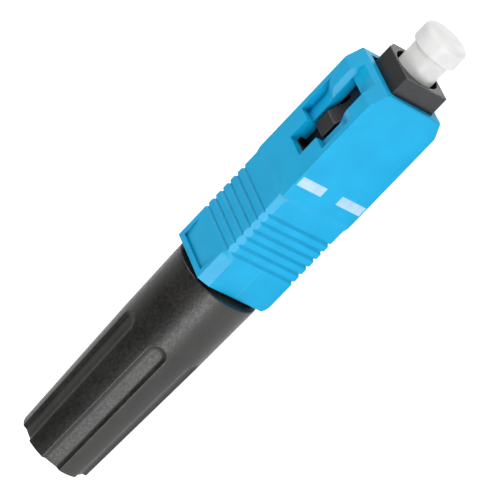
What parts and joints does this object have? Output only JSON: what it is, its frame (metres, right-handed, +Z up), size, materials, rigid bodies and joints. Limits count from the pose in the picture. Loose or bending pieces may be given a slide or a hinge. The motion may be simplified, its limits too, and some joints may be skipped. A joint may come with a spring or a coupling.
{
  "type": "sc_fibre_connector_field_assembly",
  "caption": "Field-assembly SC fibre connector with blue coupling sleeve, black plug frame, ceramic ferrule, fluted tail nut and translucent dust cap",
  "frame": {"origin": "on the ground plane under the middle of the part's length and width, as it lies on its side with the sleeve's window side up", "axes": "+X along the fibre axis from the tail nut to the dust cap, +Z up out of the sleeve's window side, +Y towards the sleeve's key"},
  "size_m": [0.0584, 0.0096, 0.0096],
  "materials": {
    "sleeve_blue": "moulded cyan-blue plastic, satin",
    "frame_black": "moulded dark grey plastic, satin",
    "nut_black": "moulded dark grey plastic with a fine grain, satin",
    "body_black": "moulded black plastic",
    "cap_clear": "soft translucent white polythene",
    "ferrule_white": "ground and polished white zirconia",
    "holder_metal": "turned stainless steel",
    "spring_steel": "drawn stainless wire",
    "splice_grey": "moulded light grey plastic",
    "clip_steel": "bent spring sheet",
    "glass_fibre": "bare glass",
    "slider_white": "moulded natural plastic"
  },
  "bodies": {
    "plug_body": {"plug_frame": "frame_black", "rear_body": "body_black", "cable_clamp_cover": "body_black", "ferrule_spring": "spring_steel"},
    "sleeve_body": {"coupling_sleeve": "sleeve_blue"},
    "ferrule_body": {"ferrule": "ferrule_white", "ferrule_holder": "holder_metal", "fibre_stub": "glass_fibre", "splice_base": "splice_grey", "splice_lid": "splice_grey", "splice_clip": "clip_steel"},
    "cap_body": {"dust_cap": "cap_clear"},
    "slider_body": {"lock_slider": "slider_white"},
    "nut_body": {"tail_nut": "nut_black"}
  },
  "joints": [
    {"name": "sleeve_slide", "type": "slide", "parent": "plug_body", "child": "sleeve_body", "axis": [1, 0, 0], "range_m": [-0.0003, 0.0017]},
    {"name": "ferrule_float", "type": "slide", "parent": "plug_body", "child": "ferrule_body", "axis": [1, 0, 0], "range_m": [-0.001, 0], "stiffness_N_per_m": 2500, "deforming": ["ferrule_spring"]},
    {"name": "cap_pull", "type": "slide", "parent": "ferrule_body", "child": "cap_body", "axis": [1, 0, 0], "range_m": [0, 0.008]},
    {"name": "lock_slide", "type": "slide", "parent": "plug_body", "child": "slider_body", "axis": [1, 0, 0], "range_m": [0, 0.0025]},
    {"name": "tail_nut_turn", "type": "hinge", "parent": "plug_body", "child": "nut_body", "pos_m": [-0.01384, 0, 0.00481], "axis": [-1, 0, 0], "range_deg": [0, 1620]}
  ]
}
